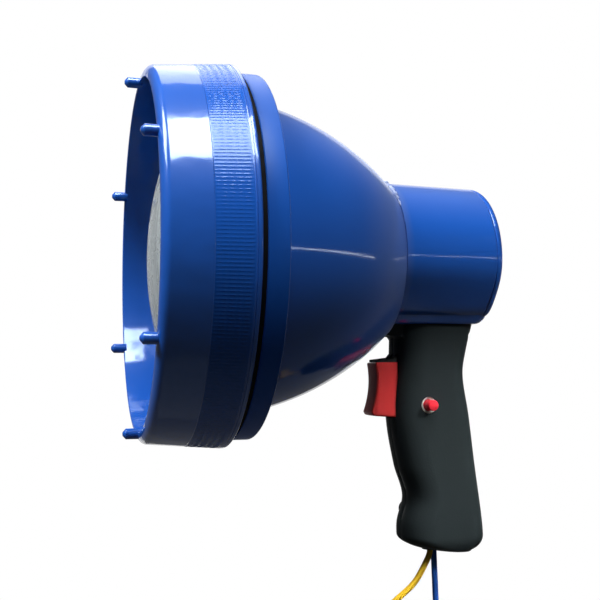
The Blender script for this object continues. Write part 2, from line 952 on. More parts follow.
@dataclass
class Tie:
    """The strap that holds both coils at their top."""

    width: float = 4.0
    thick: float = 1.0
    half_y: float = 7.3
    low: float = 9.2
    high: float = 21.5
    corner: float = 1.6
    lock_half: float = 2.5
    lock_out: float = 3.0

    def loop(self, out: float, x: float) -> Array:
        """The strap's rounded outline across the lamp, out from its inner face, at one x.

        It is a rectangle whose corners are quarter circles.

        Args:
            out: How far out from the strap's inner face.
            x: Place along the lamp.

        Returns:
            Points round the loop.
        """
        y, z0, z1 = self.half_y + out, COIL_Z + self.low - out, COIL_Z + self.high + out
        r = self.corner + out
        middles = ((y - r, z1 - r), (r - y, z1 - r), (r - y, z0 + r), (y - r, z0 + r))
        line = np.concatenate([arc(c, r, 90 * k, 90 * k + 90, 6) for k, c in enumerate(middles)])
        return np.insert(line, 0, x, axis=1)

    def build(self) -> Object:
        """Makes the strap with its lock.

        Returns:
            The piece.
        """
        x0, x1 = COIL_X - self.width / 2, COIL_X + self.width / 2
        loops = np.stack([
            self.loop(0, x0), self.loop(self.thick, x0), self.loop(self.thick, x1), self.loop(0, x1)
        ])
        strap = Surface(loops.reshape(-1, 3), weave(4, loops.shape[1], True, True), NO_TRIS)
        y = self.half_y + self.thick / 2
        z = COIL_Z + (self.low + self.high) / 2
        lock = block((x0, y, z - self.lock_half), (x1, y + self.lock_out, z + self.lock_half))
        return dress(make_object("tie_strap", strap, lock), TIE_NYLON, Body.HOUSING, "lead_tie")


# Front ring


@dataclass
class FrontRing:
    """The ribbed front ring with its pegs.

    groove holds front, rear and depth of the retaining ring's groove, lens_lip front, rear and
    radius of the lip before the lens, band_slope the lengths of the rib band's end slopes,
    line_half the half widths of the fine line behind it, at its floor and on top, and peg_tip
    places back from a peg's tip with the radii there.
    """

    rim_r: float = 88.0
    flare: float = 2.75
    length: float = 39.0
    bore_r: float = 80.0
    mouth_r: float = 82.1
    mouth_bevel: float = 0.5
    fillet: float = 4.0
    edge: float = 0.8
    slot_r: float = 86.0
    sleeve_r: float = 82.3
    sleeve_end: float = 33.3
    rim_t: float = 8.0
    groove: Triple = (30.1, 31.8, 1.2)
    lens_lip: Triple = (21.0, 23.5, 75.5)
    band_slope: Pair = (0.3, 0.2)
    line_x: float = 36.9
    line_half: Pair = (0.1, 0.25)
    line_h: float = 0.25
    rib_x: Pair = (20.4, 36.2)
    rib_count: int = 352
    rib_points: int = 6
    rib_rows: int = 37
    rib_h: float = 0.13
    rib_power: float = 8.0
    rib_gap: float = 0.1
    rib_root: float = 0.3
    rib_fade: float = 1.2
    dash_mm: Pair = (3.1, 1.9)
    dash_second: float = 0.8
    dash_shift: float = 0.9
    dash_step: Pair = (-0.9, 0.5)
    dash_least: float = 0.2
    peg_count: int = 6
    peg_circle_r: float = 83.0
    peg_r: float = 2.5
    peg_len: float = 6.7
    peg_root: float = 1.5
    peg_tip: tuple[Pair, ...] = ((1.6, 2.5), (1.4, 2.38), (0.15, 1.0), (0.0, 0.7))

    def outer(self, x: Array) -> Array:
        """Radius of the outside at x, widening evenly to the rear edge."""
        return self.rim_r + self.flare * (x - self.fillet) / (self.length - self.edge - self.fillet)

    def shell(self) -> Surface:
        """The ring itself.

        Its rim is a quarter ellipse, the bore opens a little to the mouth as the mould's draft
        needs it, and a shallow band is turned out for the ribs.

        Returns:
            The closed surface.
        """
        x0, x1 = self.rib_x
        rear = self.length - self.edge
        turn = np.linspace(0, np.pi / 2, 13)
        front = self.fillet * (1 - np.cos(turn))
        round_r = self.rim_r - (self.rim_r - self.mouth_r - self.mouth_bevel) * (1 - np.sin(turn))
        (slope0, slope1), (narrow, broad) = self.band_slope, self.line_half
        band = [(x0 - slope0, 0), (x0, self.rib_h), (x1, self.rib_h), (x1 + slope1, 0)]
        band += [(self.line_x - broad, 0), (self.line_x - narrow, self.line_h)]
        band += [(self.line_x + narrow, self.line_h), (self.line_x + broad, 0)]
        outside = [(x, float(self.outer(x)) - deep) for x, deep in band]
        corner = arc((rear, float(self.outer(rear)) - self.edge), self.edge, 90, 0, 9)
        groove0, groove1, deep = self.groove
        lip0, lip1, lip_r = self.lens_lip
        bore_r = self.bore_r
        inside = [
            (self.length, self.slot_r), (self.rim_t, self.slot_r), (self.rim_t, self.sleeve_r),
            (self.sleeve_end, self.sleeve_r), (self.sleeve_end, bore_r), (groove1, bore_r),
            (groove1, bore_r + deep), (groove0, bore_r + deep), (groove0, bore_r), (lip1, bore_r),
            (lip1, lip_r), (lip0, lip_r), (lip0, bore_r), (self.mouth_bevel, self.mouth_r),
        ]
        profile = np.concatenate([np.stack([front, round_r], axis=-1), outside, corner, inside])
        return turned(profile, (0, 0, 0), (1, 0, 0), 256)

    def ribs(self) -> Surface:
        """The ribbed band.

        Its radius at (x, angle) is the ring's outside less rib_h, plus rib_h times a crest: a
        raised cosine of rib_count waves on a turn, taken to rib_power, so that narrow crests
        stand on a plain band. Along x each crest fades out at its ends and is broken into
        dashes by two slow sines, whose shift differs from rib to rib.

        Returns:
            The closed surface.
        """
        (x0, x1), per_rib = self.rib_x, self.rib_points
        x = np.linspace(x0 + self.rib_gap, x1 - self.rib_gap, self.rib_rows)
        angle = np.linspace(0, 2 * np.pi, self.rib_count * per_rib, endpoint=False)
        crest = (0.5 + 0.5 * np.cos(self.rib_count * angle)) ** self.rib_power
        ends = ease(0, self.rib_fade, x - x[0]) * ease(0, self.rib_fade, x[-1] - x)
        rng = np.random.default_rng(3)
        shift = rng.uniform(-self.dash_shift, self.dash_shift, (2, self.rib_count))
        shift = np.roll(np.repeat(shift, per_rib, axis=1), -(per_rib // 2), axis=1)
        along = 2 * np.pi * (x[:, None] - x0)
        long, short = self.dash_mm
        dash = np.sin(along / long + shift[0]) + self.dash_second * np.sin(along / short + 2 * shift[1])
        dash = self.dash_least + (1 - self.dash_least) * ease(*self.dash_step, dash)
        radius = self.outer(x)[:, None] - self.rib_h * (1 - ends[:, None] * dash * crest[None, :])
        root = self.outer(x[[-1, 0]])[:, None] - self.rib_h - self.rib_root
        base = np.broadcast_to(root, (2, len(angle)))
        radius = np.concatenate([radius, base])
        along = np.broadcast_to(np.append(x, x[[-1, 0]])[:, None], radius.shape)
        points = np.stack([along, radius * np.sin(angle), radius * np.cos(angle)], axis=-1)
        return Surface(points.reshape(-1, 3), weave(*radius.shape, True, True), NO_TRIS)

    def pegs(self) -> list[Surface]:
        """Round pegs with bevelled tips, evenly spread on the rim.

        Each is the same outline turned about an axis at peg_circle_r.

        Returns:
            One surface for each peg.
        """
        tip, root = self.peg_len, -self.peg_root
        bevel = [(tip - back, radius) for back, radius in self.peg_tip]
        profile = np.array([(root, 0), (root, self.peg_r), *bevel, (tip, 0)])
        turns = 2 * np.pi * np.arange(self.peg_count) / self.peg_count
        places = [(0, -self.peg_circle_r * math.sin(t), self.peg_circle_r * math.cos(t)) for t in turns]
        return [turned(profile, place, (-1, 0, 0), 40) for place in places]

    def build(self) -> None:
        """Makes ring, ribs and pegs."""
        dress(make_object("ring_shell", self.shell(), sharp=14), BLUE_ABS, Body.RING, "front_bezel")
        dress(make_object("ring_ribs", self.ribs(), sharp=80), RIB_ABS, Body.RING, "front_bezel")
        dress(make_object("ring_pegs", *self.pegs(), sharp=30), BLUE_ABS, Body.RING, "front_bezel")


@dataclass
class Lens:
    """The domed front lens with its flat rim."""

    dome_r: float = 157.0
    thick: float = 3.0
    front: float = 23.6
    rear: float = 26.6
    dome_edge_r: float = 73.8
    rim_r: float = 79.6

    def build(self) -> None:
        """Makes the dome: two arcs about one centre on the axis, and the rim between them."""
        middle = self.front + math.sqrt(self.dome_r ** 2 - self.dome_edge_r ** 2)
        inner = self.dome_r - self.thick
        outer_turn = math.degrees(math.asin(self.dome_edge_r / self.dome_r))
        inner_turn = math.degrees(math.acos((middle - self.rear) / inner))
        profile = np.concatenate([
            arc((middle, 0), self.dome_r, 180, 180 - outer_turn, 32),
            [(self.front, self.rim_r), (self.rear, self.rim_r)],
            arc((middle, 0), inner, 180 - inner_turn, 180, 32),
        ])
        profile[[0, -1], 1] = 0
        obj = make_object("lens_dome", turned(profile, (0, 0, 0), (1, 0, 0), 192), sharp=30)
        dress(obj, LENS, Body.CARRIAGE, "front_lens")


# Housing


@dataclass
class Bell:
    """The bell housing: spigot, collar and bell, with the bead of cement at its end.

    spigot holds the front end and both radii. bead_waves is how many waves make the bead
    uneven and bead_numbers the range of their numbers on a turn. bead_thick and bead_out hold
    the plain value and how far the waves change it, for its radius and for how far it stands out.
    """

    collar_x: float = 41.7
    collar_end: float = 51.2
    collar_r: float = 87.0
    collar_t: float = 3.3
    bell_r: float = 74.4
    fillet: float = 2.0
    end_x: float = 120.2
    end_r: float = 38.7
    end_t: float = 2.0
    arc_r: float = 132.0
    thick: float = 3.0
    spigot: Triple = (13.8, 82.9, 85.7)
    edge: float = 0.8
    bead_deg: float = 54.0
    bead_waves: int = 14
    bead_numbers: tuple[int, int] = (20, 190)
    bead_thick: Pair = (0.9, 1.8)
    bead_least: float = 0.02
    bead_out: Pair = (0.6, 0.4)
    bead_back: float = 0.1

    def middle(self) -> Pair:
        """Centre (x, r) of the bell's arc, on the axis side of its chord.

        It stands off the chord's middle, square to the chord, by the root of arc_r squared less
        half the chord squared.

        Returns:
            Its place along the axis and its radius.
        """
        p, q = np.array([self.collar_end, self.bell_r]), np.array([self.end_x, self.end_r])
        d = q - p
        half = np.linalg.norm(d) / 2
        n = np.array([d[1], -d[0]]) / (2 * half)
        c = (p + q) / 2 + n * math.sqrt(self.arc_r ** 2 - half ** 2)
        return float(c[0]), float(c[1])

    def curve(self, radius: float, x: Array) -> Array:
        """Points of a circle about the bell's middle, on its outer side, at places along the axis."""
        cx, cr = self.middle()
        return np.stack([x, cr + np.sqrt(radius ** 2 - (x - cx) ** 2)], axis=-1)

    def build(self) -> None:
        """Makes the bell: rounded collar edges, a fillet behind the collar, then the arc."""
        start, inner_r, outer_r = self.spigot
        e, f = self.edge, self.fillet
        bell = self.curve(self.arc_r, np.linspace(self.collar_end + f, self.end_x, 49))
        fillet = arc((self.collar_end + f, bell[0, 1] + f), f, 180, 265, 6)
        front, rear = self.collar_x + self.collar_t, self.end_x - self.end_t
        inner = self.curve(self.arc_r - self.thick, np.linspace(rear, front, 33))
        profile = np.concatenate([
            [(start, inner_r), (start, outer_r - e), (start + e, outer_r), (self.collar_x, outer_r)],
            arc((self.collar_x + e, self.collar_r - e), e, 180, 90, 5),
            arc((self.collar_end - e, self.collar_r - e), e, 90, 0, 5),
            fillet, bell[1:],
            [(self.end_x, inner[0, 1]), (rear, inner[0, 1])],
            inner[1:], [(front, inner_r)],
        ])
        obj = make_object("bell_shell", turned(profile, (0, 0, 0), (1, 0, 0), 224), sharp=35)
        dress(obj, SEAM_ABS, Body.HOUSING, "bell_housing")
        self.bead()

    def bead(self) -> None:
        """The cement bead in the seam.

        Part of a torus over the top of the seam. Its thickness and place waver as sums of sines
        of the angle with uneven wave numbers, and it thins out towards both ends.
        """
        turn = np.radians(np.linspace(-self.bead_deg, self.bead_deg, 480))
        rng = np.random.default_rng(7)
        waves = rng.integers(*self.bead_numbers, self.bead_waves)
        shifts = rng.uniform(0, 2 * np.pi, self.bead_waves)
        rough = np.sin(np.outer(turn, waves) + shifts).sum(axis=1) / self.bead_waves
        fade = np.sqrt(1 - (turn / turn[-1]) ** 2)
        (plain, change), (out, waver) = self.bead_thick, self.bead_out
        thick = np.maximum((plain + change * rough) * fade, self.bead_least)
        around = np.linspace(0, 2 * np.pi, 12, endpoint=False)
        radius = self.end_r + out + waver * rough[:, None] + thick[:, None] * np.sin(around)
        x = self.end_x + self.bead_back + thick[:, None] * np.cos(around)
        points = np.stack([x, radius * np.sin(turn)[:, None], radius * np.cos(turn)[:, None]], axis=-1)
        dress(make_object("seam_bead", lofted(points), sharp=60), SEAM_GLUE, Body.HOUSING)


@dataclass
class Barrel:
    """The rear barrel, its cap and the saddle pad under it.

    flank_deg is the tilt of the flat flanks and flank_foot a point (y, z) on them. Flanks and
    floor only count where they face a direction by more than least, and above round_from the
    barrel is plainly round. joint_in is how far the edges at the cap's joint line are drawn
    in, in two steps.
    """

    front_x: float = 120.2
    end_x: float = 167.0
    rear_x: float = 170.5
    front_r: float = 39.5
    end_r: float = 38.5
    flank_deg: float = 48.0
    flank_foot: Pair = (25.3, -27.2)
    least: float = 0.05
    saddle_z: float = -32.0
    pad_top: float = -27.2
    floor_z: float = -29.5
    pad_half: float = 22.6
    pad_round: float = 3.8
    pad_draft: float = 4.6
    pad_corner_r: float = 6.0
    pad_front_r: float = 1.6
    pad_gap: float = 0.8
    pad_edge: float = 0.6
    pad_foot: float = 0.4
    pad_least_r: float = 0.3
    round_from: float = 0.3
    joint_in: Pair = (0.1, 0.45)
    cap_fillet: float = 2.5
    blend: float = 2.2

    def section(self, x: Array, inset: Array) -> Array:
        """Rings of the barrel's cross-section.

        In polar form the ring is the least of three distances from the axis: the circle, the
        two flanks and the floor, with the joins rounded over by a soft minimum of width blend.

        Args:
            x: Places along the axis.
            inset: How far each ring is drawn in.

        Returns:
            Points by ring, angle and coordinate.
        """
        angle = np.linspace(0, 2 * np.pi, 240, endpoint=False)
        side, up = np.sin(angle), np.cos(angle)
        circle = self.front_r + (self.end_r - self.front_r) * (x - self.front_x) / (self.end_x - self.front_x)
        tilt = math.radians(self.flank_deg)
        foot_y, foot_z = self.flank_foot
        flank_d = foot_y * math.sin(tilt) - foot_z * math.cos(tilt)
        toward = np.abs(side) * math.sin(tilt) - up * math.cos(tilt)
        least, far = self.least, 1e3
        flank = np.where(toward > least, flank_d / np.maximum(toward, least), far)
        floor = np.where(up < -least, self.floor_z / np.minimum(up, -least), far)
        limits = np.stack(np.broadcast_arrays(circle[:, None], flank[None, :], floor[None, :]))
        near = limits.min(axis=0)
        soft = near - self.blend * np.log(np.exp(-(limits - near) / self.blend).sum(axis=0))
        radius = np.where(up > self.round_from, circle[:, None], soft) - inset[:, None]
        return np.stack(np.broadcast_arrays(x[:, None], radius * side, radius * up), axis=-1)

    def pad(self) -> Surface:
        """The saddle pad: a plate with round rear corners.

        Going up, its rear end comes out along a quarter circle of pad_round and its sides evenly
        by pad_draft, in line with the flanks, and its upper edge is softened.

        Returns:
            The closed surface.
        """
        x0, edge = self.front_x + self.pad_gap, self.pad_edge
        turn = np.radians(np.linspace(0, 90, 10))
        z = self.saddle_z + self.pad_round * (1 - np.cos(turn))
        z = np.append(z, (self.pad_top - edge, self.pad_top, self.pad_top))
        rear = np.append(self.rear_x - self.pad_round * (1 - np.sin(turn)), (self.rear_x,) * 3)
        inset = np.append(self.pad_foot * (1 - np.sin(turn)), (0.0, edge, 5 * edge))
        half = self.pad_half - self.pad_draft * (self.pad_top - z) / (self.pad_top - self.saddle_z)
        rings = []
        for height, x1, y, inward in zip(z, rear, half, inset):
            r0, r1 = self.pad_front_r, self.pad_corner_r
            corners = ((x1, y, r1), (x0, y, r0), (x0, -y, r0), (x1, -y, r1))
            line = []
            for k, (cx, cy, full) in enumerate(corners):
                r = max(full - inward, self.pad_least_r)
                cx += (r + inward) * (1 if cx == x0 else -1)
                cy -= (r + inward) * math.copysign(1, cy)
                line.append(arc((cx, cy), r, 90 * k, 90 * k + 90, 8))
            rings.append(np.insert(np.concatenate(line), 2, height, axis=1))
        return lofted(np.stack(rings))

    def build(self) -> None:
        """Makes barrel with pad, and the cap behind its fine joint line."""
        x = np.concatenate([
            self.front_x + np.array([0.1, 0.35, 0.8, 1.4]), np.linspace(124, 166, 12),
            self.end_x - np.array([0.55, 0.3, 0.0]),
        ])
        inset = np.zeros(len(x))
        inset[-2:] = self.joint_in
        barrel = make_object("barrel_shell", lofted(self.section(x, inset)), self.pad(), sharp=35)
        dress(barrel, SEAM_ABS, Body.HOUSING, "rear_barrel")
        turn = np.radians(np.linspace(0, 90, 9))
        f = self.cap_fillet
        x = np.concatenate([self.end_x + np.array([0.02, 0.25, 0.5]), self.rear_x - f + f * np.sin(turn)])
        inset = np.concatenate([self.joint_in[::-1], (0.0,), f - f * np.cos(turn)])
        cap = make_object("cap_shell", lofted(self.section(x, inset)), sharp=35)
        dress(cap, BLUE_ABS, Body.HOUSING, "rear_cap")


# Grip

# Where the lock button crosses the grip, as (x, z)
LOCK_PLACE = (140.1, -71.9)


@dataclass
class Grip:
    """The two half shells of the pistol grip, hollow, with their openings.

    sweep is how far front, back and sides draw in at the butt. front_line and back_line hold
    pairs of the share of the height and how far the outline is moved there, screws pairs of
    the place behind the front and the share of the height. The window is the box that the
    trigger moves in, and the exit is the hole for the leads. boss, seat and lock_hole hold a
    radius and both ends across the grip.
    """

    top_z: float = -32.0
    height: float = 112.5
    front_x: float = 127.6
    neck: float = 39.9
    half_w: float = 15.5
    wall: float = 2.5
    front_r: float = 13.0
    back_r: float = 10.0
    butt: float = 8.0
    sweep: Triple = (27.0, 8.0, 5.0)
    top_t: float = 5.5
    tongue_reach: float = 6.6
    tongue_half: float = 9.5
    tongue_fillet: float = 2.6
    lip_z: float = -50.6
    lip_reach: float = 10.6
    lip_half: float = 6.0
    lip_t: float = 1.3
    root: float = 1.6
    lip_fillet: float = 3.6
    seam: float = 0.35
    parting: float = 0.02
    step_half: float = 0.6
    step_deep: float = 0.5
    step_x: Pair = (152.0, 156.0)
    step_y: float = 5.0
    front_line: tuple[Pair, ...] = (
        (0, 0), (0.16, -0.7), (0.4, -2.7), (0.62, 1.1), (0.76, 5.5), (0.88, 2.2), (1, 2.6)
    )
    back_line: tuple[Pair, ...] = (
        (0, 0), (0.1, -3.2), (0.22, -5.6), (0.4, -2.9), (0.62, -0.2), (0.88, 3.3), (1, 3.7)
    )
    screws: tuple[Pair, ...] = ((24.4, 0.106), (27.4, 0.52), (11.4, 0.83), (32.4, 0.875))
    boss: Triple = (4.2, 3.0, 14.2)
    seat: Triple = (3.3, 11.0, 20.0)
    lock_hole: Triple = (4.1, -20.0, -10.0)
    window_x: Pair = (90.0, 133.7)
    window_half: float = 7.1
    window_z: Pair = (-78.3, -50.4)
    exit_x: float = 146.6
    exit_r: float = 5.3
    exit_z: Pair = (-150.0, -136.0)

    def rings(self, depth: Array, wall: float, lip: float) -> Array:
        """Half rings of the grip for Y >= 0, one for each depth below the saddle.

        The front and back lines are smooth curves of the depth, the butt draws in as a
        quarter circle, and each ring is half of a rectangle with round corners. Where it
        meets the parting face its edge is broken by the seam.

        Args:
            depth: Depths of the rings.
            wall: How far the outline is drawn in.
            lip: Y of the parting face.

        Returns:
            Points by ring, place and coordinate.
        """
        d = depth + wall
        share = np.minimum(d / self.height, 1)
        low = np.clip((d - self.height + self.butt) / self.butt, 0, 1)
        draw = 1 - np.sqrt(1 - low ** 2)
        x0 = self.front_x + smooth(self.front_line, share) + self.sweep[0] * draw + wall
        x1 = self.front_x + self.neck + smooth(self.back_line, share) - self.sweep[1] * draw - wall
        w = self.half_w - self.sweep[2] * draw - wall
        most = np.minimum(w, (x1 - x0) / 2) - 0.3
        r0, r1 = (np.minimum(r - wall, most)[:, None] for r in (self.front_r, self.back_r))
        x0, x1, w = x0[:, None], x1[:, None], w[:, None]
        t = np.linspace(0, np.pi / 2, 15)[None, :]
        flat = np.linspace(0, 1, 8)[None, 1:-1]
        seam, lean = self.seam, 0.05
        face, above = np.full_like(x0, lip), np.full_like(x0, lip + seam)
        x = np.concatenate([
            x0 + seam, x0 + lean, x0 + r0 - r0 * np.cos(t), x0 + r0 + (x1 - r1 - x0 - r0) * flat,
            x1 - r1 + r1 * np.sin(t), x1 - lean, x1 - seam,
        ], axis=1)
        y = np.concatenate([
            face, above, w - r0 + r0 * np.sin(t), w + 0 * flat, w - r1 + r1 * np.cos(t), above, face,
        ], axis=1)
        z = np.broadcast_to(self.top_z - depth[:, None], x.shape)
        return np.stack([x, y, z], axis=-1)

    def depths(self, top: float, low: float) -> Array:
        """Depths of the rings: even on the neck and closer at the butt.

        Args:
            top: First depth.
            low: Last depth.

        Returns:
            The depths.
        """
        straight = low - self.butt
        turn = np.radians(np.linspace(0, 90, 15)[1:])
        return np.concatenate([np.linspace(top, straight, 84), straight + self.butt * np.sin(turn)])

    def outside(self, side: Side) -> Surface:
        """The outer form of one half, with the short step at its back under the top plate.

        The step draws the outline in by step_deep times a bell curve of the depth, behind step_x.

        Args:
            side: Which half it belongs to.

        Returns:
            The closed surface.
        """
        rings = self.rings(self.depths(0, self.height), 0, self.parting)
        deep = (rings[..., 2] - self.top_z + self.top_t) / self.step_half
        step = self.step_deep * np.exp(-deep ** 2) * ease(*self.step_x, rings[..., 0])
        rings[..., 1] -= step * (rings[..., 1] > self.step_y)
        rings[..., 0] -= step
        rings[..., 1] *= side.value
        return lofted(rings)

    def inside(self, side: Side) -> Surface:
        """The hollow of one half, reaching past the parting face.

        Args:
            side: Which half it belongs to.

        Returns:
            The closed surface.
        """
        depth = np.linspace(self.top_t, self.height - 2 * self.wall, 40)
        rings = self.rings(depth, self.wall, -1.0)
        rings[..., 1] *= side.value
        return lofted(rings)

    def screw_places(self) -> list[Pair]:
        """Where the screws cross the grip, as (x, z)."""
        return [(self.front_x + x, self.top_z - share * self.height) for x, share in self.screws]

    def across(self, tip: Array, root: Array, half_y: float, side: Side) -> Surface:
        """A side outline carried from the parting face out to half_y.

        Towards the side its root moves back as the neck rounds off, by the height of the
        neck's corner arc.

        Args:
            tip: Points (x, z) that stay.
            root: Points (x, z) at the neck, which go on round the outline.
            half_y: Y where it ends.
            side: Which half it belongs to.

        Returns:
            The closed surface.
        """
        rings = []
        for y in np.linspace(self.parting, half_y, 8):
            off = max(y - self.half_w + self.front_r, 0)
            back = self.front_r - math.sqrt(self.front_r ** 2 - off ** 2)
            line = np.concatenate([tip, root + np.array([back, 0])])
            rings.append(np.insert(line, 1, y * side.value, axis=1))
        return lofted(np.stack(rings))

    def tongue(self, side: Side) -> Surface:
        """The tongue under the bell, filleted into the neck and rooted in its wall.

        Args:
            side: Which half it belongs to.

        Returns:
            The closed surface.
        """
        x, top, r = self.front_x - self.tongue_reach, self.top_z, self.tongue_fillet
        z, inside = top - self.top_t, self.front_x + self.root
        fillet = arc((self.front_x - r, z - r), r, 0, 90, 10)
        root = np.concatenate([[(inside, top), (inside, z - r)], fillet])
        return self.across(np.array([(x, z), (x, top)]), root, self.tongue_half, side)

    def trigger_lip(self, side: Side) -> Surface:
        """The thin lip over the trigger, filleted into the neck and rooted in its wall.

        Args:
            side: Which half it belongs to.

        Returns:
            The closed surface.
        """
        x, low, r = self.front_x - self.lip_reach, self.lip_z, self.lip_fillet
        z, inside = low + self.lip_t, self.front_x + self.root
        fillet = arc((self.front_x - r, z + r), r, 270, 360, 10)
        root = np.concatenate([fillet, [(inside, z + r), (inside, low)]])
        return self.across(np.array([(x, low), (x, z)]), root, self.lip_half, side)

    def half(self, name: str, side: Side) -> Object:
        """One half shell, hollowed and cut.

        Args:
            name: Name of the piece.
            side: Which half it belongs to.

        Returns:
            The piece, not dressed yet.
        """
        (x0, x1), half, (z0, z1) = self.window_x, self.window_half, self.window_z
        round_hole = arc((self.exit_x, 0), self.exit_r, 0, 352, 44)
        cuts = {"hollow": [self.inside(side)]}
        bosses = []
        if side is Side.RIGHT:
            bosses = [post(place, *self.boss) for place in self.screw_places()]
            cuts["seats"] = [post(place, *self.seat) for place in self.screw_places()]
        else:
            cuts["lock_hole"] = [post(LOCK_PLACE, *self.lock_hole)]
        cuts["window"] = [block((x0, -half, z0), (x1, half, z1))]
        cuts["exit"] = [lofted(np.stack([np.insert(round_hole, 2, z, axis=1) for z in self.exit_z]))]
        steps = [(Work.CUT, make_object(tool, *surfaces)) for tool, surfaces in cuts.items()]
        if bosses:
            steps.insert(1, (Work.JOIN, make_object("bosses", *bosses)))
        return carve(make_object(name, self.outside(side)), steps, sharp=38)

    def build(self) -> None:
        """Makes both halves, each with its share of tongue and lip."""
        for side in Side:
            name = side.name.lower()
            dress(self.half(f"grip_shell_{name}", side), GRIP_NYLON, Body.HOUSING, f"grip_{name}")
            front = make_object(f"grip_front_{name}", self.tongue(side), self.trigger_lip(side))
            dress(front, GRIP_NYLON, Body.HOUSING, f"grip_{name}")


@dataclass
class Trigger:
    """The trigger: a side profile with a hollowed front, its edges rounded.

    brow holds places behind the nose and below the top. toe_under is the place behind and
    below the toe, heel the place behind the toe and above the foot.
    """

    rear: float = 127.2
    nose: float = 115.8
    top: float = -50.7
    low: float = -78.0
    toe: Pair = (113.4, -75.2)
    half_w: float = 6.8
    hollow: float = 1.6
    bevel: float = 0.9
    brow: tuple[Pair, ...] = ((0.6, 0.0), (0.15, 0.3))
    brow_low: float = 1.0
    toe_under: Pair = (0.9, 1.5)
    heel: Pair = (2.8, 0.8)
    lift: float = 0.8

    def outline(self, inset: float) -> Array:
        """The side profile as (x, z), its front drawn back and its foot drawn up by inset.

        The front is the chord from brow to toe, drawn back by hollow times 4 s (1 - s) at a share
        s of it.

        Args:
            inset: How far the edges are drawn in.

        Returns:
            Points round the profile.
        """
        start, toe = np.array([self.nose, self.top - self.brow_low]), np.array(self.toe)
        share = np.linspace(0, 1, 21)[:, None]
        chord = start + (toe - start) * share
        hollow = chord + np.array([1.0, 0.0]) * self.hollow * 4 * share * (1 - share)
        hollow[:, 0] += inset
        low = self.low + min(inset, self.lift)
        (toe_x, toe_z), (under_x, under_z), (heel_x, heel_z) = self.toe, self.toe_under, self.heel
        return np.concatenate([
            [(self.rear, self.top)],
            [(self.nose + inset + back, self.top - drop) for back, drop in self.brow],
            hollow,
            [(toe_x + inset + under_x, toe_z - under_z), (toe_x + inset + heel_x, low + heel_z)],
            [(self.rear, low)],
        ])

    def build(self) -> None:
        """Makes the trigger: profiles carried across, the outer ones drawn in along a quarter circle."""
        turn = np.radians(np.linspace(0, 90, 8))
        drop = self.bevel * (1 - np.sin(turn))
        place = self.half_w - self.bevel * (1 - np.cos(turn))
        y = np.concatenate([-place, place[::-1]])
        inset = np.concatenate([drop, drop[::-1]])
        rings = np.stack([np.insert(self.outline(i), 1, v, axis=1) for i, v in zip(inset, y)])
        dress(make_object("trigger_lever", lofted(rings), sharp=50), TRIGGER_RED, Body.TRIGGER, "trigger")


@dataclass
class LockButton:
    """The lock button and the collar it slides in.

    flange holds length and height of the flange that keeps the button in. waist_line starts
    waist before the tip and tip_line counts back from it: both hold places with how far the
    radius is drawn in. collar holds both radii and collar_edge their bevels.
    """

    radius: float = 2.6
    inner: float = 6.0
    tip: float = 21.0
    shoulder: float = 13.1
    flange: Pair = (1.0, 0.8)
    waist: float = 2.6
    waist_line: tuple[Pair, ...] = ((0.0, 0.0), (0.15, 0.22), (0.45, 0.22), (0.6, 0.0))
    tip_line: tuple[Pair, ...] = ((0.6, 0.0), (0.25, 0.2), (0.05, 0.6))
    collar: Pair = (2.95, 4.0)
    collar_edge: Pair = (0.3, 0.2)
    collar_y: Pair = (13.4, 14.9)

    def build(self) -> None:
        """Makes the button and its collar, each an outline turned about the button's axis."""
        r, start, end = self.radius, self.tip - self.waist, self.shoulder
        long, out = self.flange
        profile = np.array([
            (self.inner, 0), (self.inner, r), (end - long, r), (end - long, r + out),
            (end, r + out), (end, r),
            *[(start + on, r - deep) for on, deep in self.waist_line],
            *[(self.tip - back, r - deep) for back, deep in self.tip_line], (self.tip, 0),
        ])
        middle = (LOCK_PLACE[0], 0, LOCK_PLACE[1])
        button = make_object("lock_plunger", turned(profile, middle, (0, -1, 0), 48), sharp=30)
        dress(button, BUTTON_RED, Body.LOCK, "lock_button")
        (r0, r1), (y0, y1), (in_b, out_b) = self.collar, self.collar_y, self.collar_edge
        ring = np.array([
            (y0, r0), (y0, r1), (y1 - out_b, r1), (y1, r1 - out_b), (y1, r0 + in_b), (y1 - in_b, r0)
        ])
        collar = make_object("lock_bush", turned(ring, middle, (0, -1, 0), 48), sharp=30)
        dress(collar, PALE_PLASTIC, Body.HOUSING, "lock_collar")


# Inner pieces that are wound or bend


@dataclass
class Spring:
    """A wire spring that is pressed together by a joint.

    It starts at centre and goes along axis. travel is how much shorter the joint makes it.
    """

    node: str
    joint: str
    centre: Triple
    axis: Triple
    coil_r: float
    length: float
    wire: float
    turns: float
    travel: float

    def build(self) -> None:
        """Makes the helix, which goes evenly along and round the axis, and ties its length to the joint."""
        share = np.linspace(0, 1, int(24 * self.turns) + 1)
        ahead = np.array(self.axis)
        u = ahead[[2, 0, 1]]
        v = np.cross(ahead, u)
        angle = 2 * np.pi * self.turns * share[:, None]
        route = np.array(self.centre) + self.length * share[:, None] * ahead
        route = route + self.coil_r * (np.cos(angle) * u + np.sin(angle) * v)
        obj = make_object(f"{self.node}_wire", tube(route, self.wire / 2, 8, self.axis))
        dress(obj, STEEL, Body.HOUSING, self.node)
        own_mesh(obj)


SPRINGS = (
    Spring("trigger_spring", "trigger_pull", (133.3, 0, -64.35), (-1, 0, 0), 3.8, 13.0, 0.8, 7, 6.0),
    Spring(
        "lock_spring", "lock_press", (LOCK_PLACE[0], -9.35, LOCK_PLACE[1]), (0, -1, 0),
        3.1, 2.2, 0.5, 2.5, 2.5,
    ),
)


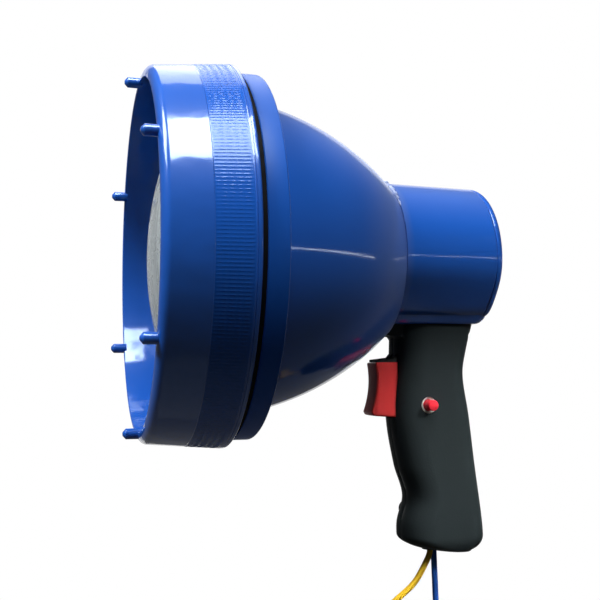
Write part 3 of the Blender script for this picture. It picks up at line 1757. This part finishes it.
@dataclass
class InnerWires:
    """The leads inside: from the butt to the switch, and from the switch up to the lamp."""

    low_z: float = -84.0
    top_z: float = -45.9
    holder_x: float = 114.9
    bend_z: float = -26.5
    lamp_x: Pair = (141.0, 145.0)
    lamp_y: float = 2.2
    lamp_d: float = 2.4

    def build(self) -> None:
        """Makes both pairs: straight ones, and ones that rise and bend as a quarter ellipse to the lamp."""
        pair = []
        for lead in (YELLOW, BLUE):
            z = np.linspace(EXIT_Z, self.low_z, 5)
            line = np.stack([np.full(5, lead.exit[0]), np.full(5, lead.exit[1]), z], axis=-1)
            pair.append(tube(line, LEAD_D / 2, 16, ACROSS))
        dress(make_object("switch_wires", *pair), BLUE_PVC, Body.HOUSING, "switch_leads")
        turn = np.radians(np.linspace(0, 90, 19))
        pair = []
        for x0, side in zip(self.lamp_x, Side):
            y = side.value * self.lamp_y
            rise = [(x0, y, z) for z in np.linspace(self.top_z, self.bend_z, 4)[:-1]]
            bend = np.stack([
                self.holder_x + (x0 - self.holder_x) * np.cos(turn), np.full(19, y),
                self.bend_z + (y - self.bend_z) * np.sin(turn),
            ], axis=-1)
            pair.append(tube(np.concatenate([rise, bend]), self.lamp_d / 2, 12, ACROSS))
        dress(make_object("lamp_wires", *pair), YELLOW_PVC, Body.HOUSING, "lamp_leads")


def dress_plain_nodes() -> None:
    """Gives the CAD nodes that are shown as they are their finishes."""
    for name, finish in PLAIN_NODES.items():
        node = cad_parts[name]
        node.data.materials.clear()
        node.data.materials.append(finish.material())
        LOG.info("%s: CAD node, %s", name, finish.name)


# Studio


@dataclass(frozen=True)
class AreaLamp:
    """A flat lamp: where it is from a target, how large, how strong and how wide it shines.

    toward is the direction from the target to the lamp, target is in lamp millimetres,
    distance and sizes are in metres, and spread is in degrees. mirrored tells whether glossy
    surfaces show it, and soft whether it lights matt ones.
    """

    name: str
    target: Triple
    toward: Triple
    distance: float
    wide: float
    high: float
    power: float
    spread: float = 180.0
    mirrored: bool = True
    soft: bool = True

    def build(self) -> None:
        """Adds the lamp, its wide side level."""
        data = bpy.data.lights.new(self.name, "AREA")
        data.shape = "RECTANGLE"
        data.size = self.wide
        data.size_y = self.high
        data.energy = self.power
        data.spread = math.radians(self.spread)
        lamp = bpy.data.objects.new(self.name, data)
        out = Vector(self.toward).normalized()
        lamp.location = Vector(placed(np.array(self.target))) + out * self.distance
        lamp.rotation_euler = out.to_track_quat("Z", "Y").to_euler()
        lamp.visible_camera = False
        lamp.visible_glossy = self.mirrored
        lamp.visible_diffuse = self.soft
        bpy.context.scene.collection.objects.link(lamp)


@dataclass
class Studio:
    """Camera, sky, lamps, floor and backdrop.

    eye is the camera's place in lamp millimetres, pan, pitch and roll turn it, in degrees.
    sky is the world's strength as a light. far_mirrored is the share of their white that the
    far floor and the world show in gloss and glass, so that glossy undersides stay dark. Floor
    and wall are in metres in the shared frame.
    """

    eye: Triple = (-45.28, -437.85, -55.57)
    pan: float = 15.857
    pitch: float = -4.49
    roll: float = -0.505
    focal: float = 55.674
    sensor: float = 36.0
    sky: float = 0.025
    far_mirrored: float = 0.12
    floor_z: float = -4.0
    floor_half: float = 1.8
    wall_x: Pair = (-0.5, 2.2)
    wall_y: float = 2.6
    wall_z: Pair = (-0.8, 2.1)
    lamps: tuple[AreaLamp, ...] = (
        AreaLamp("window", (12, -80, 37), (0.03, -0.43, 0.90), 1.2, 0.44, 0.62, 28.0, soft=False),
        AreaLamp("key", (12, -80, 37), (0.03, -0.43, 0.90), 1.2, 0.5, 0.5, 18.5, mirrored=False),
        AreaLamp("rear_window", (20, 0, 80), (0.1, 0.6, 0.8), 1.6, 0.7, 1.0, 6.5),
        AreaLamp("overhead", (90, 0, 0), (0.1, 0.1, 0.97), 1.9, 2.4, 1.6, 6.0, mirrored=False),
        AreaLamp("rear_fill", (120, 0, 0), (0.5, 0.82, 0.28), 2.0, 1.2, 1.2, 18.0, mirrored=False),
        AreaLamp("front_panel", (10, 0, 0), (-0.65, -0.1, 0.75), 1.5, 0.7, 0.7, 34.0),
        AreaLamp("horizon_strip", (145, 0, 0), (0.74, -0.67, 0.03), 2.4, 3.3, 0.016, 3.6, soft=False),
        AreaLamp("grip_lamp", (138, 0, -118), (0.45, -0.7, 0.55), 0.5, 0.1, 0.1, 0.045, 15.0, False),
    )

    def camera(self) -> None:
        """Adds the camera that was fitted to the photo's pegs and rims."""
        pan, pitch, roll = (math.radians(a) for a in (self.pan, self.pitch, self.roll))
        right = np.array([math.cos(pan), -math.sin(pan), 0])
        back = np.array([-math.sin(pan) * math.cos(pitch), -math.cos(pan) * math.cos(pitch), math.sin(pitch)])
        up = np.cross(back, right)
        across = math.cos(roll) * right + math.sin(roll) * up
        above = math.cos(roll) * up - math.sin(roll) * right
        data = bpy.data.cameras.new("camera")
        data.sensor_width = self.sensor
        data.lens = self.focal
        camera = bpy.data.objects.new("camera", data)
        turn = np.eye(4)
        turn[:3, 0], turn[:3, 1], turn[:3, 2], turn[:3, 3] = across, above, back, placed(np.array(self.eye))
        camera.matrix_world = Matrix(turn.tolist())
        bpy.context.scene.collection.objects.link(camera)
        bpy.context.scene.camera = camera

    def sheet(self, name: str, corners: Sequence[Sequence[float]], material: bpy.types.Material) -> None:
        """A flat stage sheet with four corners, in metres.

        Args:
            name: Name of the sheet.
            corners: Its corners in order.
            material: Its material.
        """
        mesh = bpy.data.meshes.new(name)
        mesh.from_pydata(corners, [], [(0, 1, 2, 3)])
        mesh.materials.append(material)
        obj = bpy.data.objects.new(name, mesh)
        bpy.context.scene.collection.objects.link(obj)

    def seen(self, tree: Tree, mirrored: float) -> Socket:
        """1 for rays from the camera, mirrored for those by way of a mirror or glass, else 0.

        Args:
            tree: The node tree.
            mirrored: Share for mirror and glass.

        Returns:
            The share of white.
        """
        ray = add_node(tree, "ShaderNodeLightPath", {}).outputs
        passed = add_node(
            tree, "ShaderNodeMath", {0: ray["Is Glossy Ray"], 1: ray["Is Transmission Ray"]},
            operation="ADD", use_clamp=True,
        )
        both = add_node(
            tree, "ShaderNodeMath", {0: passed.outputs[0], 1: mirrored, 2: ray["Is Camera Ray"]},
            operation="MULTIPLY_ADD", use_clamp=True,
        )
        return both.outputs[0]

    def paper(self, finish: Finish, mirrored: float) -> bpy.types.Material:
        """Stage paper: plain for the light, white where it is looked at and, by a share, mirrored.

        Args:
            finish: The paper's finish.
            mirrored: Share for mirror and glass.

        Returns:
            The material.
        """
        made = finish.material()
        tree = made.node_tree
        plain = tree.nodes["Principled BSDF"].outputs[0]
        white = add_node(tree, "ShaderNodeEmission", {"Color": rgba("#ffffff"), "Strength": 1.0})
        both = add_node(
            tree, "ShaderNodeMixShader", {0: self.seen(tree, mirrored), 1: plain, 2: white.outputs[0]}
        )
        tree.links.new(both.outputs[0], tree.nodes["Material Output"].inputs["Surface"])
        return made

    def light(self) -> None:
        """Adds the plain world, the lamps, the floor and the wall behind the object."""
        scene = bpy.context.scene
        world = bpy.data.worlds.new("plain_studio")
        world.use_nodes = True
        tree = world.node_tree
        shader = tree.nodes["Background"]
        shader.inputs["Color"].default_value = rgba("#ffffff")
        strength = add_node(
            tree, "ShaderNodeMapRange",
            {"Value": self.seen(tree, self.far_mirrored), "To Min": self.sky, "To Max": 1.0},
        )
        tree.links.new(strength.outputs[0], shader.inputs["Strength"])
        scene.world = world
        for lamp in self.lamps:
            lamp.build()
        h, z = self.floor_half, self.floor_z
        corners = [(-h, -h, z), (h, -h, z), (h, h, z), (-h, h, z)]
        self.sheet("floor", corners, self.paper(FLOOR, self.far_mirrored))
        y, (x0, x1), (z0, z1) = self.wall_y, self.wall_x, self.wall_z
        corners = [(x0, y, z0), (x1, y, z0), (x1, y, z1), (x0, y, z1)]
        self.sheet("backdrop", corners, self.paper(BACKDROP, 1.0))
        scene.view_settings.view_transform = "Standard"


def main() -> None:
    """Builds the scene."""
    logging.basicConfig(level=logging.INFO, format="%(message)s")
    studio = Studio()
    studio.camera()
    YELLOW.build(Tie().build())
    BLUE.build()
    parts = (FrontRing(), Lens(), Bell(), Barrel(), Grip(), Trigger(), LockButton(), *SPRINGS, InnerWires())
    for part in parts:
        part.build()
    dress_plain_nodes()
    studio.light()


if __name__ == "__main__":
    main()
